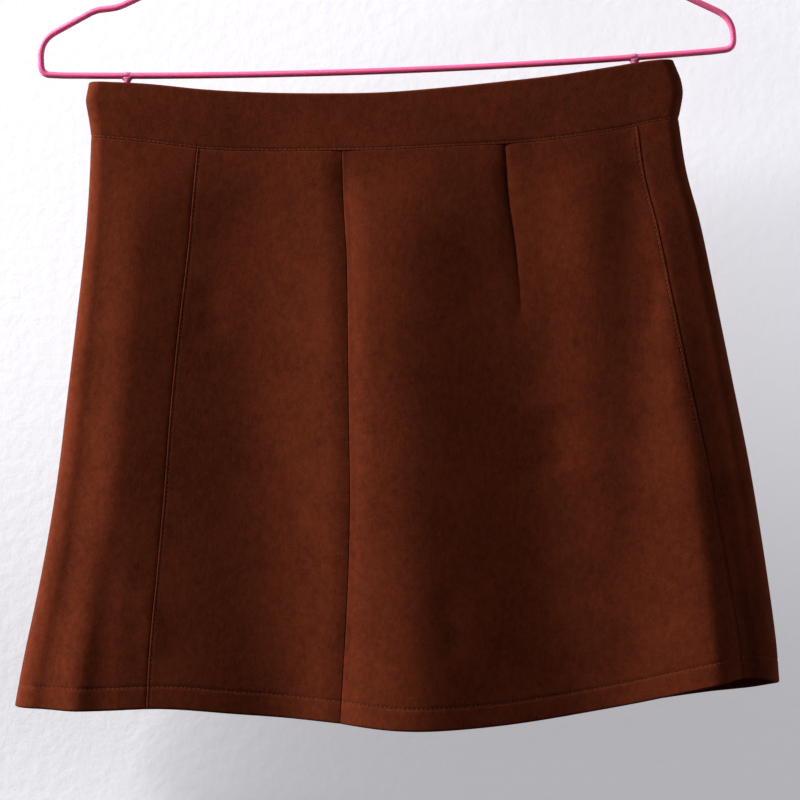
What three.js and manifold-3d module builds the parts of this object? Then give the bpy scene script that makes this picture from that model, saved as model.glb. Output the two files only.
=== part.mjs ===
// A suede mini skirt hung on a coated wire hanger: a waistband, six gored panels, a dart, a zip and
// two hanging loops. Millimetres, +Z up. The origin is the inside top of the hanger's hook, +X runs to
// the right of the shown face and the shown face looks along -Y.
import * as THREE from 'three';
import { mergeVertices } from 'three/addons/utils/BufferGeometryUtils.js';
import Module from 'manifold-3d';

const wasm = await Module();
wasm.setup();

// Driving dimensions of the hanger. Heights in the hanger's tables are above the ends of its bar.
const BAR_DEPTH = 200; // the bar's ends below the hook's inside top
const BAR_HALF = 199.3; // half of the hanger's width, between wire centres
const BAR_BOW = 4.8; // how far the loaded bar sags in its middle
const WIRE_RADIUS = 1.9; // coated wire
const WIRE_SIDES = 8;
const APEX_HEIGHT = 108; // where the two arms meet
const HOOK_RADIUS = 19; // inside the hook
const HOOK_FROM = -50; // where the round of the hook starts and ends, in degrees
const HOOK_TO = 196;
const NECK_HEIGHT = 34; // straight wire between the arms and the hook
const NECK_LEAD = 11; // how gently the neck bends into the hook
// Stations of each stretch of wire.
const STEPS = { hook: 26, neck: 8, corner: 4, bar: 14, twist: 10, bend: 8, loop: 6 };
const TWIST = { turns: 2.5, pitch: 4.3, gap: 0.35, start: 3 };
const BAR_HOOK = { wire: 1.6, drop: 10, bend: 5.4, tip: 3.5, flare: 3.6, flareHeight: 3.4, weld: 2.5 };
const BAR_HOOKS = [
  { name: 'left', x: -150, outward: -1 },
  { name: 'right', x: 142, outward: 1 },
];

// Driving dimensions of the cloth.
const CLOTH = 1.3; // one layer of suede
const BAND_CLOTH = 2.4; // the waistband is folded double
const HEM_CLOTH = 2.5; // and so is the turned-up hem
const HEM_TURN = 13; // height of the turn-up
const HEM_EASE = 1.3; // over which the cloth thickens to the turn-up
const SEAM_GAP = 0.3; // between two pieces at a seam
const SEAM_DIP = { depth: 0.3, width: 3, columns: 1 }; // a stitched seam draws the cloth in beside it
const OPEN_DIP = { depth: 2.2, width: 14, columns: 3 }; // a seam with no edge stitches lies in a valley
const DIP_FADE = { least: 0.3, level: 0.06 }; // the dips are shallower where the waistband holds the cloth
const FOLD_FADE = { least: 0.3, level: 0.18 }; // and so are the hanging folds
const LAP_RISE = 0.4; // one edge of a seam stands proud of the other
const SIDE_LENGTH = 326; // from the waist seam to the hem along a side fold
const FOLD_RADIUS = { band: 8, hem: 15 }; // how round the cloth turns at its two sides
const BELLY = { band: 1.2, hem: 4.5 }; // how much each face stands out between its sides
const EASE = 26; // the folds fade out over this width beside a side fold
const DART = { across: 0.404, end: 0.393, length: 0.285, depth: 1.6, width: 12, columns: 3 };
const ZIP_LINE = -0.116; // the centre back seam, from -1 at the left fold to 1 at the right one
const LOOP = { width: 5, thickness: 1, sewn: 12, clearance: 0.62, foot: 0.97 };
const SLIDER = { width: 5, height: 9, thickness: 1.2, below: 3, seat: 0.3 };
const BRIDGE = { ear: 1.2, axis: 1, hinge: 0.42, root: 0.2 };
const TAB = { width: 5, length: 22, thickness: 1.1, bar: 0.6, bore: 0.35, play: 0.4, shoulder: 0.72 };

// Outline of the band and of the skirt, seen from the front: x of the two side folds.
const BAND_SIDES = [
  { down: 0, left: -172, right: 164 },
  { down: 6, left: -173.4, right: 166.4 },
  { down: 11, left: -174.3, right: 168.3 },
  { down: 18, left: -173.4, right: 169.2 },
  { down: 26, left: -172.4, right: 167.6 },
  { down: 32, left: -172, right: 166 },
];
const SKIRT_SIDES = [
  { down: 0, left: -172, right: 166 },
  { down: 30, left: -174.4, right: 169.5 },
  { down: 60, left: -177.7, right: 176.3 },
  { down: 100, left: -183.6, right: 183.1 },
  { down: 150, left: -191.4, right: 191.3 },
  { down: 200, left: -199.4, right: 199.4 },
  { down: 250, left: -209.8, right: 205.7 },
  { down: 300, left: -222.2, right: 210.8 },
  { down: SIDE_LENGTH, left: -228, right: 212 },
];
// Heights below the ends of the bar, across each face from its left fold (-1) to its right fold (1).
const EDGES = [
  { across: -1, top: 5, seam: 37, hemFront: 361.5, hemBack: 362 },
  { across: -0.8, top: 8, seam: 41.8, hemFront: 364.3, hemBack: 365 },
  { across: -0.6, top: 12.6, seam: 46.9, hemFront: 365.1, hemBack: 366 },
  { across: -0.4, top: 15.6, seam: 49.3, hemFront: 370.6, hemBack: 371 },
  { across: -0.2, top: 17.3, seam: 50.4, hemFront: 376, hemBack: 376.5 },
  { across: 0, top: 18, seam: 51.2, hemFront: 381.4, hemBack: 381.5 },
  { across: 0.2, top: 16.7, seam: 50.6, hemFront: 382.1, hemBack: 382.5 },
  { across: 0.4, top: 14.5, seam: 50.2, hemFront: 379.2, hemBack: 380.5 },
  { across: 0.6, top: 11.9, seam: 48.4, hemFront: 373, hemBack: 376 },
  { across: 0.8, top: 7.9, seam: 44.4, hemFront: 364, hemBack: 372 },
  { across: 0.9, top: 5.7, seam: 41.2, hemFront: 360, hemBack: 369.4 },
  { across: 1, top: 4.5, seam: 39, hemFront: 362.5, hemBack: 367.5 },
];
// Vertical seams: place across a face at the waist seam, half way down and at the hem, the dip beside
// the seam, and which of its edges stands proud, the left one (-1) or the right one (1) from the front.
const SEAMS = {
  frontLeft: { top: -0.637, middle: -0.684, hem: -0.648, dip: SEAM_DIP, proud: 1 },
  frontMiddle: { top: -0.147, middle: -0.154, hem: -0.15, dip: OPEN_DIP, proud: 1 },
  frontRight: { top: 0.856, middle: 0.866, hem: 0.897, dip: SEAM_DIP, proud: -1 },
  backRight: { top: 0.63, middle: 0.62, hem: 0.62, dip: SEAM_DIP, proud: -1 },
  backMiddle: { top: ZIP_LINE, middle: ZIP_LINE, hem: ZIP_LINE, dip: OPEN_DIP, proud: -1 },
  backLeft: { top: -0.858, middle: -0.86, hem: -0.86, dip: SEAM_DIP, proud: 1 },
};
// The hanging folds of each face: x at the waist seam and at the hem, half width, and how far out at
// each end.
const FRONT_FOLDS = [
  { top: -150, hem: -196, width: 32, riseTop: 1.2, riseHem: 7.5 },
  { top: -92, hem: -74, width: 42, riseTop: -4.2, riseHem: -9 },
  { top: -2, hem: 0, width: 38, riseTop: 4, riseHem: 9.5 },
  { top: 74, hem: 98, width: 38, riseTop: -3.2, riseHem: -7.5 },
  { top: 108, hem: 106, width: 22, riseTop: 3.6, riseHem: -0.5 },
  { top: 142, hem: 132, width: 18, riseTop: -2.6, riseHem: -1 },
  { top: 164, hem: 184, width: 32, riseTop: 1.5, riseHem: 10 },
];
const BACK_FOLDS = [
  { top: -128, hem: -160, width: 34, riseTop: 2, riseHem: 7.5 },
  { top: -66, hem: -80, width: 36, riseTop: -2.4, riseHem: -6.5 },
  { top: 6, hem: 14, width: 40, riseTop: 3.2, riseHem: 8.5 },
  { top: 78, hem: 92, width: 34, riseTop: -2.8, riseHem: -7 },
  { top: 132, hem: 168, width: 28, riseTop: 2, riseHem: 7 },
];

// Columns of each stretch of a panel and rows of the skirt and of the band.
const SKIRT_ROWS = 19;
const BAND_ROWS = 5;
const FOLD_COLUMNS = 8;
const COLUMN_WIDTH = 13;

const HALF_TURN = Math.PI;
const STEP = 1e-3; // for slopes of the cloth's form

const suede = (tint) => new THREE.MeshStandardMaterial({ color: tint, roughness: 0.95, metalness: 0 });
const clothFinish = suede('#5a2412');
const bandFinish = suede('#552110');
const ribbonFinish = new THREE.MeshStandardMaterial({ color: '#4a2416', roughness: 0.6, metalness: 0 });
const coatFinish = new THREE.MeshStandardMaterial({ color: '#e25aa0', roughness: 0.42, metalness: 0 });
const zipFinish = new THREE.MeshStandardMaterial({ color: '#5c3a2a', roughness: 0.35, metalness: 0.6 });

const mix = (a, b, share) => a + (b - a) * share;
const soft = (share) => {
  const s = Math.min(Math.max(share, 0), 1);
  return s * s * (3 - 2 * s);
};
const fall = (share) => Math.max(1 - share, 0) ** 2; // from 1 to 0, steep at first

// Reads a table smoothly between its rows.
function read(table, key, column, at) {
  const last = table.length - 1;
  const slope = (i) => {
    const a = Math.max(i - 1, 0);
    const b = Math.min(i + 1, last);
    return (table[b][column] - table[a][column]) / (table[b][key] - table[a][key]);
  };
  let i = 0;
  while (i < last - 1 && at > table[i + 1][key]) i += 1;
  const span = table[i + 1][key] - table[i][key];
  const s = (at - table[i][key]) / span;
  const from = table[i][column];
  const to = table[i + 1][column];
  const bend = s * (1 - s) * (slope(i) * span * (1 - s) - slope(i + 1) * span * s);
  return mix(from, to, s * s * (3 - 2 * s)) + bend;
}

// A seam's place across its face: a parabola through its three values.
function seamAcross(seam, level) {
  const { top, middle, hem } = seam;
  return top + level * (4 * middle - 3 * top - hem) + level * level * (2 * top + 2 * hem - 4 * middle);
}

// One level of the cloth: level 0 to 1 is the band from top to seam, or the skirt from seam to hem.
function ring(part, level) {
  const onBand = part === 'band';
  const table = onBand ? BAND_SIDES : SKIRT_SIDES;
  const down = level * table[table.length - 1].down;
  const left = read(table, 'down', 'left', down);
  const right = read(table, 'down', 'right', down);
  const radius = onBand ? FOLD_RADIUS.band : mix(FOLD_RADIUS.band, FOLD_RADIUS.hem, level);
  const belly = onBand ? BELLY.band : mix(BELLY.band, BELLY.hem, level);
  return { onBand, level, left, right, radius, belly };
}

const acrossAt = (r, x) => Math.min(Math.max((2 * x - r.left - r.right) / (r.right - r.left), -1), 1);
const xAt = (r, across) => mix(r.left, r.right, (across + 1) / 2);

// How far the hanging folds push a face out at x.
function foldRise(folds, r, x) {
  let rise = 0;
  for (const fold of folds) {
    const at = r.onBand ? fold.top : mix(fold.top, fold.hem, r.level);
    const size = r.onBand ? fold.riseTop : mix(fold.riseTop, fold.riseHem, r.level);
    rise += size * Math.exp(-(((x - at) / fold.width) ** 2));
  }
  const { least, level } = FOLD_FADE;
  return rise * (r.onBand ? least * r.level * r.level : mix(least, 1, soft(r.level / level)));
}

// The dips beside the seams and along the dart, and the proud edge of each seam.
function seamForm(face, r, x) {
  if (r.onBand) return 0;
  const held = mix(DIP_FADE.least, 1, soft(r.level / DIP_FADE.level));
  let form = 0;
  for (const [name, seam] of Object.entries(SEAMS)) {
    if (!name.startsWith(face)) continue;
    const off = x - xAt(r, seamAcross(seam, r.level));
    form -= held * seam.dip.depth * fall(Math.abs(off) / seam.dip.width);
    if (off * seam.proud > 0) form += LAP_RISE * Math.max(1 - Math.abs(off) / SEAM_DIP.width, 0);
  }
  if (face === 'front' && r.level < DART.length) {
    const share = r.level / DART.length;
    const off = x - xAt(r, mix(DART.across, DART.end, share));
    form -= held * DART.depth * Math.sqrt(1 - share) * fall(Math.abs(off) / DART.width);
  }
  return form;
}

// Height of the cloth at a place across it. back is 0 on the front face and 1 on the back face.
function heightAt(r, across, back) {
  const seam = read(EDGES, 'across', 'seam', across);
  if (r.onBand) return -BAR_DEPTH - mix(read(EDGES, 'across', 'top', across), seam, r.level);
  const hem = mix(read(EDGES, 'across', 'hemFront', across), read(EDGES, 'across', 'hemBack', across), back);
  return -BAR_DEPTH - mix(seam, hem, r.level);
}

// A point of the cloth's outer form. around runs 0 to 1 over the front face, to 2 round the right fold,
// to 3 over the back face from right to left, and to 4 round the left fold. sewn adds the form of the seams.
function clothPoint(r, around, sewn = true) {
  const turn = ((around % 4) + 4) % 4;
  const from = r.left + r.radius;
  const flat = r.right - r.left - 2 * r.radius;
  const onFace = turn < 1 || (turn >= 2 && turn < 3);
  if (onFace) {
    const back = turn >= 2;
    const share = back ? 3 - turn : turn;
    const x = from + share * flat;
    const ease = soft(Math.min(share, 1 - share) * flat / EASE);
    const belly = r.belly * (1 - (2 * share - 1) ** 4);
    const rise = foldRise(back ? BACK_FOLDS : FRONT_FOLDS, r, x) * ease;
    const out = r.radius + belly + rise + (sewn ? seamForm(back ? 'back' : 'front', r, x) : 0);
    return new THREE.Vector3(x, back ? out : -out, heightAt(r, acrossAt(r, x), back ? 1 : 0));
  }
  const rightFold = turn < 2;
  const angle = (rightFold ? turn - 1 : turn - 3) * HALF_TURN;
  const reach = r.radius * Math.sin(angle);
  const x = rightFold ? r.right - r.radius + reach : from - reach;
  const y = (rightFold ? -1 : 1) * r.radius * Math.cos(angle);
  return new THREE.Vector3(x, y, heightAt(r, acrossAt(r, x), (1 + y / r.radius) / 2));
}

// The outward direction of the cloth.
function clothNormal(part, level, around) {
  const r = ring(part, level);
  const along = clothPoint(r, around + STEP, false).sub(clothPoint(r, around - STEP, false));
  const lower = ring(part, Math.min(level + STEP, 1));
  const upper = ring(part, Math.max(level - STEP, 0));
  const down = clothPoint(lower, around, false).sub(clothPoint(upper, around, false));
  return down.cross(along).normalize();
}

// A place across a face as a place around the ring.
function aroundAt(r, face, across) {
  const share = (xAt(r, across) - r.left - r.radius) / (r.right - r.left - 2 * r.radius);
  return face === 'front' ? share : 3 - share;
}

// A seam as a place around the ring at every level, and the same moved along the cloth.
const seamLine = (face, seam, shift = 0) => (r) => {
  const flat = r.right - r.left - 2 * r.radius;
  return aroundAt(r, face, seamAcross(seam, r.onBand ? 0 : r.level)) + shift / flat;
};
const dartLine = (shift) => (r) => {
  const share = Math.min(r.level / DART.length, 1);
  const flat = r.right - r.left - 2 * r.radius;
  return aroundAt(r, 'front', mix(DART.across, DART.end, share)) + shift / flat;
};
const foldLine = (around) => () => around;

// Lines down a piece between the given ones, each pair parted into a number of columns.
function columnsBetween(lines, counts) {
  const columns = [lines[0]];
  counts.forEach((count, i) => {
    for (let step = 1; step <= count; step += 1) {
      const share = step / count;
      columns.push((r) => mix(lines[i](r), lines[i + 1](r), share));
    }
  });
  return columns;
}

const panelThickness = (hemLevel) => (level) => (level >= hemLevel ? HEM_CLOTH : CLOTH);

// A closed wall of cloth over a grid of levels and lines.
function wall(part, levels, columns, thickness) {
  const rows = levels.length;
  const width = columns.length;
  const positions = [];
  const inner = [];
  for (const level of levels) {
    const r = ring(part, level);
    for (const line of columns) {
      const around = line(r);
      const outer = clothPoint(r, around);
      const back = clothNormal(part, level, around).multiplyScalar(-thickness(level));
      positions.push(outer);
      inner.push(outer.clone().add(back));
    }
  }
  const count = positions.length;
  const index = [];
  const quad = (a, b, c, d) => index.push(a, b, c, a, c, d);
  const at = (row, column) => row * width + column;
  for (let row = 0; row < rows - 1; row += 1) {
    for (let column = 0; column < width - 1; column += 1) {
      const [a, b] = [at(row, column), at(row, column + 1)];
      const [c, d] = [at(row + 1, column + 1), at(row + 1, column)];
      quad(a, d, c, b);
      quad(a + count, b + count, c + count, d + count);
    }
    const [left, leftBelow] = [at(row, 0), at(row + 1, 0)];
    const [right, rightBelow] = [at(row, width - 1), at(row + 1, width - 1)];
    quad(left, left + count, leftBelow + count, leftBelow);
    quad(right, rightBelow, rightBelow + count, right + count);
  }
  for (let column = 0; column < width - 1; column += 1) {
    const [a, b] = [at(0, column), at(0, column + 1)];
    const [c, d] = [at(rows - 1, column), at(rows - 1, column + 1)];
    quad(a, b, b + count, a + count);
    quad(c, c + count, d + count, d);
  }
  const geometry = new THREE.BufferGeometry().setFromPoints([...positions, ...inner]);
  geometry.setIndex(index);
  return geometry;
}

const group = new THREE.Group();
function add(name, geometry, material, parent = group) {
  const mesh = new THREE.Mesh(geometry, material);
  mesh.name = name;
  parent.add(mesh);
  return mesh;
}

// Levels of the skirt: even rows down to the turn-up, then the turn-up.
function skirtLevels() {
  const seamEdge = SEAM_GAP / 2 / SIDE_LENGTH;
  const turnUp = 1 - HEM_TURN / SIDE_LENGTH;
  const levels = [];
  const turnTop = turnUp - HEM_EASE / SIDE_LENGTH;
  for (let row = 0; row <= SKIRT_ROWS; row += 1) levels.push(mix(seamEdge, turnTop, row / SKIRT_ROWS));
  return { levels: [...levels, turnUp, 1], turnUp };
}

const wide = (millimetres) => Math.max(Math.round(millimetres / COLUMN_WIDTH), 1);

// A panel from one seam to the next, with a narrow column beside each seam where the cloth dips.
function facePanel(name, face, from, to, span, inner = []) {
  const half = SEAM_GAP / 2;
  const start = [seamLine(face, from, half), seamLine(face, from, from.dip.width)];
  const end = [seamLine(face, to, -to.dip.width), seamLine(face, to, -half)];
  const stops = [...start, ...inner.flatMap((item) => item.lines), ...end];
  const countsBeside = ({ before, after, columns }) => [wide(before), columns, columns, wide(after)];
  const between = inner.flatMap(countsBeside);
  const spans = [from.dip.columns, ...(inner.length ? between : [wide(span)]), to.dip.columns];
  const { levels, turnUp } = skirtLevels();
  add(name, wall('skirt', levels, columnsBetween(stops, spans), panelThickness(turnUp)), clothFinish);
}

// A panel that turns round a side fold, from a seam of one face to a seam of the other.
function sidePanel(name, fromFace, from, toFace, to, foldStart, spans) {
  const half = SEAM_GAP / 2;
  const stops = [
    seamLine(fromFace, from, half),
    seamLine(fromFace, from, SEAM_DIP.width),
    foldLine(foldStart),
    foldLine(foldStart + 1),
    seamLine(toFace, to, -SEAM_DIP.width),
    seamLine(toFace, to, -half),
  ];
  const shifted = toFace === 'front' ? stops.map((line, i) => (i > 3 ? (r) => line(r) + 4 : line)) : stops;
  const { levels, turnUp } = skirtLevels();
  const counts = [1, wide(spans[0]), FOLD_COLUMNS, wide(spans[1]), 1];
  add(name, wall('skirt', levels, columnsBetween(shifted, counts), panelThickness(turnUp)), clothFinish);
}

function waistband() {
  const levels = [];
  const seamEdge = 1 - SEAM_GAP / 2 / BAND_SIDES[BAND_SIDES.length - 1].down;
  for (let row = 0; row <= BAND_ROWS; row += 1) levels.push(seamEdge * row / BAND_ROWS);
  const half = SEAM_GAP / 2;
  const middle = SEAMS.backMiddle;
  const stops = [
    seamLine('back', middle, half),
    foldLine(3),
    foldLine(4),
    foldLine(5),
    foldLine(6),
    (r) => seamLine('back', middle, -half)(r) + 4,
  ];
  const faceWidth = BAND_SIDES[0].right - BAND_SIDES[0].left - 2 * FOLD_RADIUS.band;
  const leftOfZip = wide(faceWidth * (1 + ZIP_LINE) / 2);
  const rightOfZip = wide(faceWidth * (1 - ZIP_LINE) / 2);
  const counts = [leftOfZip, FOLD_COLUMNS, wide(faceWidth), FOLD_COLUMNS, rightOfZip];
  add('waistband', wall('band', levels, columnsBetween(stops, counts), () => BAND_CLOTH), bandFinish);
}

// A path through chosen stations, so that a wire has more of them in its bends than in its straights.
class Stations extends THREE.Curve {
  constructor(points) {
    super();
    this.points = points;
  }

  getPoint(share, target = new THREE.Vector3()) {
    const place = share * (this.points.length - 1);
    const i = Math.min(Math.floor(place), this.points.length - 2);
    return target.copy(this.points[i]).lerp(this.points[i + 1], place - i);
  }

  getPointAt(share, target) {
    return this.getPoint(share, target);
  }

  getTangentAt(share, target = new THREE.Vector3()) {
    const last = this.points.length - 1;
    const i = Math.round(share * last);
    const after = this.points[Math.min(i + 1, last)];
    return target.copy(after).sub(this.points[Math.max(i - 1, 0)]).normalize();
  }
}

// A round wire along stations, with flat ends.
function wire(stations, radius) {
  const section = new THREE.Shape();
  for (let side = 0; side < WIRE_SIDES; side += 1) {
    const angle = side / WIRE_SIDES * 2 * HALF_TURN;
    const point = [radius * Math.cos(angle), radius * Math.sin(angle)];
    if (side === 0) section.moveTo(...point);
    else section.lineTo(...point);
  }
  const extrudePath = new Stations(stations);
  const steps = stations.length - 1;
  return new THREE.ExtrudeGeometry(section, { steps, extrudePath, curveSegments: 1 });
}

function toSolid(geometry) {
  const bare = geometry.clone();
  bare.deleteAttribute('normal');
  bare.deleteAttribute('uv');
  const merged = mergeVertices(bare, 1e-4);
  const mesh = new wasm.Mesh({
    numProp: 3,
    vertProperties: merged.attributes.position.array,
    triVerts: Uint32Array.from(merged.index.array),
  });
  mesh.merge();
  return new wasm.Manifold(mesh);
}

function toGeometry(solid) {
  const mesh = solid.getMesh();
  const geometry = new THREE.BufferGeometry();
  geometry.setAttribute('position', new THREE.BufferAttribute(Float32Array.from(mesh.vertProperties), 3));
  geometry.setIndex([...mesh.triVerts]);
  return geometry;
}

// Height of the bowed bar's centre at x.
const barHeight = (x) => -BAR_BOW * (1 - (x / BAR_HALF) ** 2);

// The wire in the hanger's plane, from the hook's tip down the left arm, along the bar and up the right arm.
function hangerRoute() {
  const zero = -BAR_DEPTH;
  const path = new THREE.Path();
  const centre = { x: 0, z: -HOOK_RADIUS };
  const round = HOOK_RADIUS + WIRE_RADIUS;
  const radians = (degrees) => degrees * HALF_TURN / 180;
  path.absarc(centre.x, centre.z, round, radians(HOOK_TO), radians(HOOK_FROM), true);
  const apex = zero + APEX_HEIGHT;
  const neckTop = apex + NECK_HEIGHT;
  const leave = radians(HOOK_FROM);
  const join = { x: centre.x + round * Math.cos(leave), z: centre.z + round * Math.sin(leave) };
  const lead = { x: join.x + NECK_LEAD * Math.sin(leave), z: join.z - NECK_LEAD * Math.cos(leave) };
  path.bezierCurveTo(lead.x, lead.z, 0, neckTop + NECK_LEAD, 0, neckTop);
  const corners = [
    { x: 0, z: APEX_HEIGHT, ease: 7 },
    { x: -145, z: 41, ease: 4 },
    { x: -154, z: 37.3, ease: 4 },
    { x: -167, z: 36.2, ease: 4 },
    { x: -BAR_HALF, z: 20, ease: 10 },
    { x: -BAR_HALF, z: 0, ease: 6 },
    { x: BAR_HALF, z: 0, ease: 6 },
    { x: BAR_HALF, z: 18, ease: 10 },
    { x: 167, z: 34.6, ease: 4 },
    { x: 154, z: 36, ease: 4 },
    { x: 145, z: 40, ease: 4 },
    { x: TWIST.gap + 2 * WIRE_RADIUS, z: APEX_HEIGHT - TWIST.start, ease: 0 },
  ];
  const stations = path.curves[0].getPoints(STEPS.hook);
  stations.push(...path.curves[1].getPoints(STEPS.neck).slice(1));
  corners.forEach((corner, i) => {
    const here = new THREE.Vector2(corner.x, zero + corner.z);
    const next = corners[i + 1];
    if (!next) return;
    const last = corners[i - 1] ?? { x: 0, z: neckTop - zero };
    const previous = new THREE.Vector2(last.x, zero + last.z);
    const following = new THREE.Vector2(next.x, zero + next.z);
    const before = here.clone().add(previous.sub(here).setLength(corner.ease));
    const after = here.clone().add(following.sub(here).setLength(corner.ease));
    stations.push(...new THREE.QuadraticBezierCurve(before, here, after).getPoints(STEPS.corner));
    if (corner.z === 0 && next.z === 0) {
      const ends = [-BAR_HALF + corner.ease, BAR_HALF - next.ease];
      for (let step = 1; step < STEPS.bar; step += 1) {
        const x = mix(ends[0], ends[1], step / STEPS.bar);
        stations.push(new THREE.Vector2(x, zero + barHeight(x)));
      }
    }
  });
  return stations.map((p) => new THREE.Vector3(p.x, 0, p.y));
}

// The end of the wire, wound up the neck.
function twistRoute() {
  const radius = 2 * WIRE_RADIUS + TWIST.gap;
  const stations = [];
  const base = -BAR_DEPTH + APEX_HEIGHT - TWIST.start;
  for (let step = 0; step <= TWIST.turns * STEPS.twist; step += 1) {
    const turns = step / STEPS.twist;
    const angle = turns * 2 * HALF_TURN;
    const height = base + turns * TWIST.pitch;
    stations.push(new THREE.Vector3(radius * Math.cos(angle), radius * Math.sin(angle), height));
  }
  return stations;
}

// The small hook under the bar, with the coating drawn out round its root.
function barHook({ x, outward }) {
  const { wire: radius, drop, bend, tip, flare, flareHeight, weld } = BAR_HOOK;
  const top = -BAR_DEPTH + barHeight(x);
  const bottom = top - drop;
  const stations = [new THREE.Vector3(x, 0, top), new THREE.Vector3(x, 0, bottom)];
  for (let step = 1; step <= STEPS.bend; step += 1) {
    const angle = step / STEPS.bend * HALF_TURN;
    const off = bend * (1 - Math.cos(angle));
    stations.push(new THREE.Vector3(x + outward * off, 0, bottom - bend * Math.sin(angle)));
  }
  stations.push(new THREE.Vector3(x + outward * 2 * bend, 0, bottom + tip));
  const root = new THREE.CylinderGeometry(flare, radius, flareHeight, WIRE_SIDES);
  root.rotateX(HALF_TURN / 2);
  root.translate(x, 0, top - WIRE_RADIUS - flareHeight / 2 + 1);
  const bead = new THREE.SphereGeometry(weld, WIRE_SIDES, 6);
  bead.translate(x, 0, top);
  return toSolid(wire(stations, radius)).add(toSolid(root)).add(toSolid(bead));
}

function hanger() {
  const stations = [...hangerRoute(), ...twistRoute()];
  let solid = toSolid(wire(stations, WIRE_RADIUS));
  for (const place of BAR_HOOKS) solid = solid.add(barHook(place));
  add('hanger', toGeometry(solid), coatFinish);
}

// A ribbon loop over a bar hook, its two ends sewn inside the front and the back of the waistband.
function ribbonLoop({ name, x, outward }) {
  const middle = x + outward * BAR_HOOK.bend;
  const saddle = -BAR_DEPTH + barHeight(x) - BAR_HOOK.drop - BAR_HOOK.bend + BAR_HOOK.wire;
  const half = LOOP.thickness / 2;
  const round = BAR_HOOK.wire + LOOP.clearance + half;
  // The hook curves up under the ribbon's two edges, so the ribbon rests on it there.
  const { wire: radius, bend } = BAR_HOOK;
  const slant = Math.asin(LOOP.width / 2 / bend);
  const lift = (bend - radius) * (1 - Math.cos(slant)) + radius * (1 / Math.cos(slant) - 1);
  const crown = saddle - radius + lift;
  const seat = BAND_CLOTH + SEAM_GAP + half;
  const legs = ['front', 'back'].map((face) => {
    const leg = [];
    for (const level of [LOOP.foot, LOOP.foot - LOOP.sewn / BAND_SIDES[BAND_SIDES.length - 1].down]) {
      const r = ring('band', level);
      const around = aroundAt(r, face, acrossAt(r, middle));
      const point = clothPoint(r, around).addScaledVector(clothNormal('band', level, around), -seat);
      leg.push(new THREE.Vector2(point.y, point.z));
    }
    return leg;
  });
  const centre = [...legs[0]];
  for (let step = 0; step <= STEPS.loop; step += 1) {
    const angle = HALF_TURN - step / STEPS.loop * HALF_TURN;
    centre.push(new THREE.Vector2(round * Math.cos(angle), crown + round * Math.sin(angle)));
  }
  centre.push(...legs[1].reverse());
  const offset = (side) => centre.map((point, i) => {
    const before = centre[Math.max(i - 1, 0)];
    const after = centre[Math.min(i + 1, centre.length - 1)];
    const along = after.clone().sub(before).normalize();
    return new THREE.Vector2(point.x - along.y * side * half, point.y + along.x * side * half);
  });
  const outline = new THREE.Shape([...offset(1), ...offset(-1).reverse()]);
  const geometry = new THREE.ExtrudeGeometry(outline, { depth: LOOP.width, bevelEnabled: false });
  // The outline is drawn in the YZ plane and stands along X.
  geometry.applyMatrix4(new THREE.Matrix4().set(0, 0, 1, 0, 1, 0, 0, 0, 0, 1, 0, 0, 0, 0, 0, 1));
  geometry.translate(middle - LOOP.width / 2, 0, 0);
  add(`${name}_hanging_loop`, geometry, ribbonFinish);
}

// A plate with round ends, drawn in XZ round its own origin and standing along Y.
function plate(outline, holes, thickness) {
  const shape = new THREE.Shape(outline);
  shape.holes = holes;
  const geometry = new THREE.ExtrudeGeometry(shape, { depth: thickness, bevelEnabled: false });
  geometry.rotateX(HALF_TURN / 2);
  geometry.translate(0, thickness / 2, 0);
  return geometry;
}

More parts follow.
